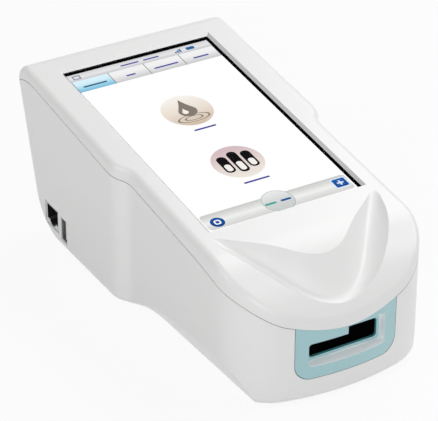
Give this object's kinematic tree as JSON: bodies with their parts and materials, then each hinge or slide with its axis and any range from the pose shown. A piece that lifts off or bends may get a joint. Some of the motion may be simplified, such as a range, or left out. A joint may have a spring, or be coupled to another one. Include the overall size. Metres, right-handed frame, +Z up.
{
  "type": "electrolyte analyzer",
  "caption": "Compact bench-top blood electrolyte analyzer: pale grey wedge-shaped case, large tilted touch screen, dished nose and a teal front with a stepped cartridge slot.",
  "frame": {"origin": "midway between front and rear, under the middle of the body, on the surface the feet stand on", "axes": "+Z up, the front with the cartridge slot faces -Y, +X to the right seen from the front"},
  "size_m": [0.123, 0.235, 0.0924],
  "materials": {
    "shell_grey": "fine moulded satin",
    "bezel_teal": "fine moulded satin",
    "shutter_black": "matt black moulding",
    "guide_black": "matt black moulding",
    "steel": "ground or zinc plated",
    "aluminium_plate": "milled",
    "switch_plastic": "matt black moulding",
    "zinc_sheet": "folded zinc plated sheet",
    "bush_brass": "turned",
    "gear_nylon": "natural nylon",
    "motor_can": "drawn and plated",
    "carriage_acetal": "white acetal",
    "gold_contacts": "gold plated",
    "screen_glass": "clear polished cover glass",
    "foam_black": "black foam",
    "board_green": "solder resist",
    "socket_shell": "tinned shield",
    "battery_sleeve": "shrink sleeve",
    "button_black": "polished black cap",
    "foot_rubber": "moulded rubber"
  },
  "bodies": {
    "case": {"lower_housing": "shell_grey", "upper_cover": "shell_grey", "front_bezel": "bezel_teal", "shutter_pin": "steel", "cartridge_guide": "guide_black", "heater_plate": "aluminium_plate", "cartridge_switch": "switch_plastic", "chassis": "zinc_sheet", "screw_bushes": "bush_brass", "guide_rods": "steel", "drive_motor": "motor_can", "motor_screws": "steel", "touch_glass": "screen_glass", "display_gasket": "foam_black", "display_panel": "motor_can", "display_bracket": "zinc_sheet", "display_screws": "steel", "main_board": "board_green", "ethernet_jack": "socket_shell", "usb_jack": "socket_shell", "board_screws": "steel", "battery_pack": "battery_sleeve", "battery_door": "shell_grey", "door_screws": "steel", "speaker": "switch_plastic", "power_switch": "switch_plastic", "dc_inlet": "switch_plastic", "panel_nuts": "steel", "case_screws": "steel", "chassis_screws": "steel", "rubber_feet": "foot_rubber"},
    "shutter": {"slot_shutter": "shutter_black"},
    "button": {"power_button": "button_black"},
    "screw": {"lead_screw": "steel", "screw_gear": "gear_nylon"},
    "pinion": {"motor_pinion": "bush_brass", "motor_shaft": "steel"},
    "slide": {"carriage": "carriage_acetal"},
    "head": {"contact_head": "carriage_acetal", "contact_pins": "gold_contacts"}
  },
  "joints": [
    {"name": "shutter_swing", "type": "hinge", "parent": "case", "child": "shutter", "pos_m": [0, -0.1083, 0.037], "axis": [1, 0, 0], "range_deg": [0, 80]},
    {"name": "power_press", "type": "slide", "parent": "case", "child": "button", "axis": [0, -0.9659, 0.2588], "range_m": [0, 0.0015], "stiffness_N_per_m": 400},
    {"name": "screw_turn", "type": "hinge", "parent": "case", "child": "screw", "pos_m": [-0.0075, -0.055, 0.0474], "axis": [0, 1, 0], "range_deg": [0, 2160]},
    {"name": "pinion_turn", "type": "hinge", "parent": "case", "child": "pinion", "pos_m": [-0.0075, -0.015, 0.0329], "axis": [0, 1, 0], "range_deg": [-4320, 0]},
    {"name": "slide_travel", "type": "slide", "parent": "case", "child": "slide", "axis": [0, -1, 0], "range_m": [0, 0.018]},
    {"name": "head_press", "type": "slide", "parent": "case", "child": "head", "axis": [0, 0, -1], "range_m": [0, 0.003]}
  ],
  "couplings": [
    {"joint": "screw_turn", "follows": "slide_travel", "rad_per_m": 2094.4},
    {"joint": "pinion_turn", "follows": "slide_travel", "rad_per_m": -4188.8},
    {"joint": "head_press", "follows": "slide_travel", "ratio": 0.16667}
  ]
}
